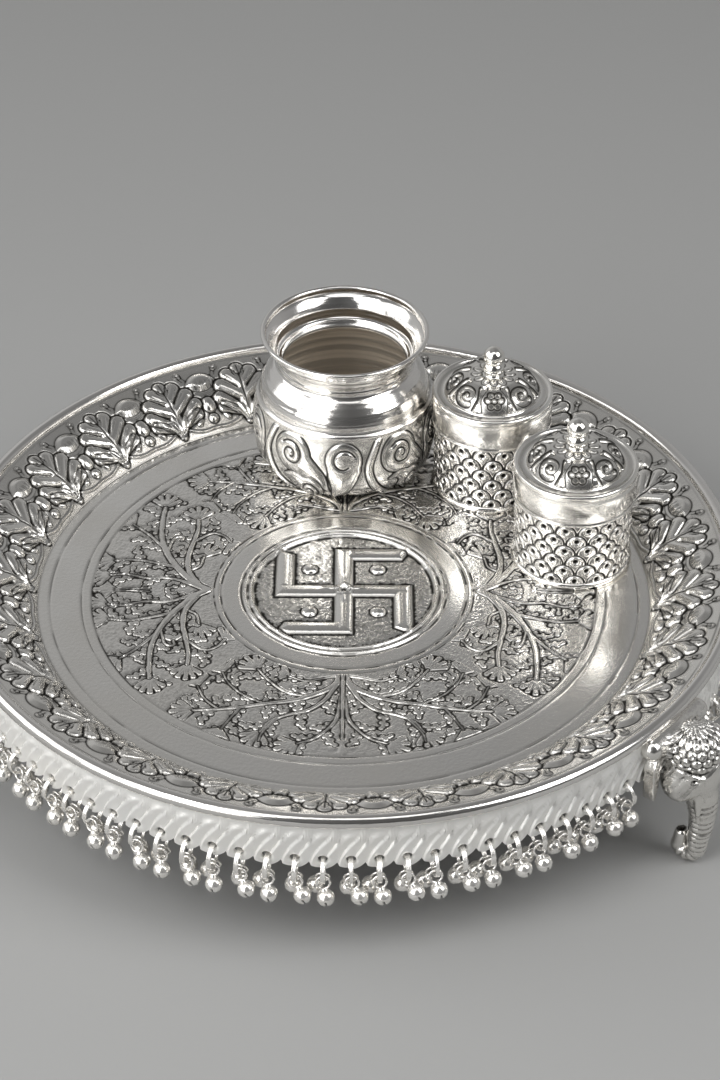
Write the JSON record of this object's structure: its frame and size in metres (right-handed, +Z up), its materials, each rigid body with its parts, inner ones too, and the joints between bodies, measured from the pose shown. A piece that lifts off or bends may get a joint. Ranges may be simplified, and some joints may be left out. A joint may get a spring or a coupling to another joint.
{
  "type": "puja thali",
  "caption": "Round embossed silver tray on elephant-head feet, hung with a fringe of small bells, carrying a water pot and lidded boxes for worship.",
  "frame": {"origin": "on the tray's axis at table level, where the three soles stand", "axes": "+Z up along the tray's axis, -Y towards the front, +X to the right"},
  "size_m": [0.2603, 0.2686, 0.0912],
  "materials": {
    "silver_embossed": "embossed, oxidised in the recesses",
    "silver_polished": "polished",
    "silver_satin": "satin",
    "silver_chased": "chased, oxidised in the recesses",
    "silver_cast": "cast and chased",
    "silver_bells": "polished"
  },
  "bodies": {
    "thali": {"tray_dish": "silver_embossed", "rim_bead": "silver_polished", "skirt": "silver_satin", "foot_front_right": "silver_cast", "foot_back": "silver_cast", "foot_left": "silver_cast"},
    "kalash": {"kalash_bowl": "silver_chased", "kalash_neck": "silver_polished"},
    "rear_box": {"cup_rear": "silver_chased", "foot_ring_rear": "silver_polished"},
    "rear_lid": {"lid_rear": "silver_polished", "knob_rear": "silver_polished"},
    "front_box": {"cup_front": "silver_chased", "foot_ring_front": "silver_polished"},
    "front_lid": {"lid_front": "silver_polished", "knob_front": "silver_polished"},
    "fringe_right_01": {"bells_right_01": "silver_bells"},
    "fringe_right_02": {"bells_right_02": "silver_bells"},
    "fringe_right_03": {"bells_right_03": "silver_bells"},
    "fringe_right_04": {"bells_right_04": "silver_bells"},
    "fringe_right_05": {"bells_right_05": "silver_bells"},
    "fringe_right_06": {"bells_right_06": "silver_bells"},
    "fringe_right_07": {"bells_right_07": "silver_bells"},
    "fringe_right_08": {"bells_right_08": "silver_bells"},
    "fringe_right_09": {"bells_right_09": "silver_bells"},
    "fringe_right_10": {"bells_right_10": "silver_bells"},
    "fringe_right_11": {"bells_right_11": "silver_bells"},
    "fringe_right_12": {"bells_right_12": "silver_bells"},
    "fringe_right_13": {"bells_right_13": "silver_bells"},
    "fringe_right_14": {"bells_right_14": "silver_bells"},
    "fringe_left_01": {"bells_left_01": "silver_bells"},
    "fringe_left_02": {"bells_left_02": "silver_bells"},
    "fringe_left_03": {"bells_left_03": "silver_bells"},
    "fringe_left_04": {"bells_left_04": "silver_bells"},
    "fringe_left_05": {"bells_left_05": "silver_bells"},
    "fringe_left_06": {"bells_left_06": "silver_bells"},
    "fringe_left_07": {"bells_left_07": "silver_bells"},
    "fringe_left_08": {"bells_left_08": "silver_bells"},
    "fringe_left_09": {"bells_left_09": "silver_bells"},
    "fringe_left_10": {"bells_left_10": "silver_bells"},
    "fringe_left_11": {"bells_left_11": "silver_bells"},
    "fringe_left_12": {"bells_left_12": "silver_bells"},
    "fringe_left_13": {"bells_left_13": "silver_bells"},
    "fringe_left_14": {"bells_left_14": "silver_bells"},
    "fringe_front_01": {"bells_front_01": "silver_bells"},
    "fringe_front_02": {"bells_front_02": "silver_bells"},
    "fringe_front_03": {"bells_front_03": "silver_bells"},
    "fringe_front_04": {"bells_front_04": "silver_bells"},
    "fringe_front_05": {"bells_front_05": "silver_bells"},
    "fringe_front_06": {"bells_front_06": "silver_bells"},
    "fringe_front_07": {"bells_front_07": "silver_bells"},
    "fringe_front_08": {"bells_front_08": "silver_bells"},
    "fringe_front_09": {"bells_front_09": "silver_bells"},
    "fringe_front_10": {"bells_front_10": "silver_bells"},
    "fringe_front_11": {"bells_front_11": "silver_bells"},
    "fringe_front_12": {"bells_front_12": "silver_bells"},
    "fringe_front_13": {"bells_front_13": "silver_bells"},
    "fringe_front_14": {"bells_front_14": "silver_bells"}
  },
  "joints": [
    {"name": "kalash_lift", "type": "slide", "parent": "thali", "child": "kalash", "axis": [0, 0, 1], "range_m": [0, 0.08]},
    {"name": "rear_box_lift", "type": "slide", "parent": "thali", "child": "rear_box", "axis": [0, 0, 1], "range_m": [0, 0.08]},
    {"name": "rear_lid_lift", "type": "slide", "parent": "rear_box", "child": "rear_lid", "axis": [0, 0, 1], "range_m": [0, 0.03]},
    {"name": "front_box_lift", "type": "slide", "parent": "thali", "child": "front_box", "axis": [0, 0, 1], "range_m": [0, 0.08]},
    {"name": "front_lid_lift", "type": "slide", "parent": "front_box", "child": "front_lid", "axis": [0, 0, 1], "range_m": [0, 0.03]},
    {"name": "swing_right_01", "type": "hinge", "parent": "thali", "child": "fringe_right_01", "pos_m": [0.10978, -0.05533, 0.0374], "axis": [-0.4501, -0.893, 0], "range_deg": [-25, 25]},
    {"name": "swing_right_02", "type": "hinge", "parent": "thali", "child": "fringe_right_02", "pos_m": [0.11606, -0.04053, 0.0374], "axis": [-0.3297, -0.9441, 0], "range_deg": [-25, 25]},
    {"name": "swing_right_03", "type": "hinge", "parent": "thali", "child": "fringe_right_03", "pos_m": [0.12036, -0.02503, 0.0374], "axis": [-0.2036, -0.979, 0], "range_deg": [-25, 25]},
    {"name": "swing_right_04", "type": "hinge", "parent": "thali", "child": "fringe_right_04", "pos_m": [0.1226, -0.00911, 0.0374], "axis": [-0.0741, -0.9973, 0], "range_deg": [-25, 25]},
    {"name": "swing_right_05", "type": "hinge", "parent": "thali", "child": "fringe_right_05", "pos_m": [0.12274, 0.00697, 0.0374], "axis": [0.0567, -0.9984, 0], "range_deg": [-25, 25]},
    {"name": "swing_right_06", "type": "hinge", "parent": "thali", "child": "fringe_right_06", "pos_m": [0.12078, 0.02293, 0.0374], "axis": [0.1865, -0.9825, 0], "range_deg": [-25, 25]},
    {"name": "swing_right_07", "type": "hinge", "parent": "thali", "child": "fringe_right_07", "pos_m": [0.11675, 0.0385, 0.0374], "axis": [0.3132, -0.9497, 0], "range_deg": [-25, 25]},
    {"name": "swing_right_08", "type": "hinge", "parent": "thali", "child": "fringe_right_08", "pos_m": [0.11073, 0.05341, 0.0374], "axis": [0.4344, -0.9007, 0], "range_deg": [-25, 25]},
    {"name": "swing_right_09", "type": "hinge", "parent": "thali", "child": "fringe_right_09", "pos_m": [0.10281, 0.0674, 0.0374], "axis": [0.5483, -0.8363, 0], "range_deg": [-25, 25]},
    {"name": "swing_right_10", "type": "hinge", "parent": "thali", "child": "fringe_right_10", "pos_m": [0.09313, 0.08025, 0.0374], "axis": [0.6528, -0.7576, 0], "range_deg": [-25, 25]},
    {"name": "swing_right_11", "type": "hinge", "parent": "thali", "child": "fringe_right_11", "pos_m": [0.08186, 0.09172, 0.0374], "axis": [0.7461, -0.6659, 0], "range_deg": [-25, 25]},
    {"name": "swing_right_12", "type": "hinge", "parent": "thali", "child": "fringe_right_12", "pos_m": [0.06919, 0.10162, 0.0374], "axis": [0.8266, -0.5628, 0], "range_deg": [-25, 25]},
    {"name": "swing_right_13", "type": "hinge", "parent": "thali", "child": "fringe_right_13", "pos_m": [0.05533, 0.10978, 0.0374], "axis": [0.893, -0.4501, 0], "range_deg": [-25, 25]},
    {"name": "swing_right_14", "type": "hinge", "parent": "thali", "child": "fringe_right_14", "pos_m": [0.04053, 0.11606, 0.0374], "axis": [0.9441, -0.3297, 0], "range_deg": [-25, 25]},
    {"name": "swing_left_01", "type": "hinge", "parent": "thali", "child": "fringe_left_01", "pos_m": [-0.00697, 0.12274, 0.0374], "axis": [0.9984, 0.0567, 0], "range_deg": [-25, 25]},
    {"name": "swing_left_02", "type": "hinge", "parent": "thali", "child": "fringe_left_02", "pos_m": [-0.02293, 0.12078, 0.0374], "axis": [0.9825, 0.1865, 0], "range_deg": [-25, 25]},
    {"name": "swing_left_03", "type": "hinge", "parent": "thali", "child": "fringe_left_03", "pos_m": [-0.0385, 0.11675, 0.0374], "axis": [0.9497, 0.3132, 0], "range_deg": [-25, 25]},
    {"name": "swing_left_04", "type": "hinge", "parent": "thali", "child": "fringe_left_04", "pos_m": [-0.05341, 0.11073, 0.0374], "axis": [0.9007, 0.4344, 0], "range_deg": [-25, 25]},
    {"name": "swing_left_05", "type": "hinge", "parent": "thali", "child": "fringe_left_05", "pos_m": [-0.0674, 0.10281, 0.0374], "axis": [0.8363, 0.5483, 0], "range_deg": [-25, 25]},
    {"name": "swing_left_06", "type": "hinge", "parent": "thali", "child": "fringe_left_06", "pos_m": [-0.08025, 0.09313, 0.0374], "axis": [0.7576, 0.6528, 0], "range_deg": [-25, 25]},
    {"name": "swing_left_07", "type": "hinge", "parent": "thali", "child": "fringe_left_07", "pos_m": [-0.09172, 0.08186, 0.0374], "axis": [0.6659, 0.7461, 0], "range_deg": [-25, 25]},
    {"name": "swing_left_08", "type": "hinge", "parent": "thali", "child": "fringe_left_08", "pos_m": [-0.10162, 0.06919, 0.0374], "axis": [0.5628, 0.8266, 0], "range_deg": [-25, 25]},
    {"name": "swing_left_09", "type": "hinge", "parent": "thali", "child": "fringe_left_09", "pos_m": [-0.10978, 0.05533, 0.0374], "axis": [0.4501, 0.893, 0], "range_deg": [-25, 25]},
    {"name": "swing_left_10", "type": "hinge", "parent": "thali", "child": "fringe_left_10", "pos_m": [-0.11606, 0.04053, 0.0374], "axis": [0.3297, 0.9441, 0], "range_deg": [-25, 25]},
    {"name": "swing_left_11", "type": "hinge", "parent": "thali", "child": "fringe_left_11", "pos_m": [-0.12036, 0.02503, 0.0374], "axis": [0.2036, 0.979, 0], "range_deg": [-25, 25]},
    {"name": "swing_left_12", "type": "hinge", "parent": "thali", "child": "fringe_left_12", "pos_m": [-0.1226, 0.00911, 0.0374], "axis": [0.0741, 0.9973, 0], "range_deg": [-25, 25]},
    {"name": "swing_left_13", "type": "hinge", "parent": "thali", "child": "fringe_left_13", "pos_m": [-0.12274, -0.00697, 0.0374], "axis": [-0.0567, 0.9984, 0], "range_deg": [-25, 25]},
    {"name": "swing_left_14", "type": "hinge", "parent": "thali", "child": "fringe_left_14", "pos_m": [-0.12078, -0.02293, 0.0374], "axis": [-0.1865, 0.9825, 0], "range_deg": [-25, 25]},
    {"name": "swing_front_01", "type": "hinge", "parent": "thali", "child": "fringe_front_01", "pos_m": [-0.10281, -0.0674, 0.0374], "axis": [-0.5483, 0.8363, 0], "range_deg": [-25, 25]},
    {"name": "swing_front_02", "type": "hinge", "parent": "thali", "child": "fringe_front_02", "pos_m": [-0.09313, -0.08025, 0.0374], "axis": [-0.6528, 0.7576, 0], "range_deg": [-25, 25]},
    {"name": "swing_front_03", "type": "hinge", "parent": "thali", "child": "fringe_front_03", "pos_m": [-0.08186, -0.09172, 0.0374], "axis": [-0.7461, 0.6659, 0], "range_deg": [-25, 25]},
    {"name": "swing_front_04", "type": "hinge", "parent": "thali", "child": "fringe_front_04", "pos_m": [-0.06919, -0.10162, 0.0374], "axis": [-0.8266, 0.5628, 0], "range_deg": [-25, 25]},
    {"name": "swing_front_05", "type": "hinge", "parent": "thali", "child": "fringe_front_05", "pos_m": [-0.05533, -0.10978, 0.0374], "axis": [-0.893, 0.4501, 0], "range_deg": [-25, 25]},
    {"name": "swing_front_06", "type": "hinge", "parent": "thali", "child": "fringe_front_06", "pos_m": [-0.04053, -0.11606, 0.0374], "axis": [-0.9441, 0.3297, 0], "range_deg": [-25, 25]},
    {"name": "swing_front_07", "type": "hinge", "parent": "thali", "child": "fringe_front_07", "pos_m": [-0.02503, -0.12036, 0.0374], "axis": [-0.979, 0.2036, 0], "range_deg": [-25, 25]},
    {"name": "swing_front_08", "type": "hinge", "parent": "thali", "child": "fringe_front_08", "pos_m": [-0.00911, -0.1226, 0.0374], "axis": [-0.9973, 0.0741, 0], "range_deg": [-25, 25]},
    {"name": "swing_front_09", "type": "hinge", "parent": "thali", "child": "fringe_front_09", "pos_m": [0.00697, -0.12274, 0.0374], "axis": [-0.9984, -0.0567, 0], "range_deg": [-25, 25]},
    {"name": "swing_front_10", "type": "hinge", "parent": "thali", "child": "fringe_front_10", "pos_m": [0.02293, -0.12078, 0.0374], "axis": [-0.9825, -0.1865, 0], "range_deg": [-25, 25]},
    {"name": "swing_front_11", "type": "hinge", "parent": "thali", "child": "fringe_front_11", "pos_m": [0.0385, -0.11675, 0.0374], "axis": [-0.9497, -0.3132, 0], "range_deg": [-25, 25]},
    {"name": "swing_front_12", "type": "hinge", "parent": "thali", "child": "fringe_front_12", "pos_m": [0.05341, -0.11073, 0.0374], "axis": [-0.9007, -0.4344, 0], "range_deg": [-25, 25]},
    {"name": "swing_front_13", "type": "hinge", "parent": "thali", "child": "fringe_front_13", "pos_m": [0.0674, -0.10281, 0.0374], "axis": [-0.8363, -0.5483, 0], "range_deg": [-25, 25]},
    {"name": "swing_front_14", "type": "hinge", "parent": "thali", "child": "fringe_front_14", "pos_m": [0.08025, -0.09313, 0.0374], "axis": [-0.7576, -0.6528, 0], "range_deg": [-25, 25]}
  ]
}
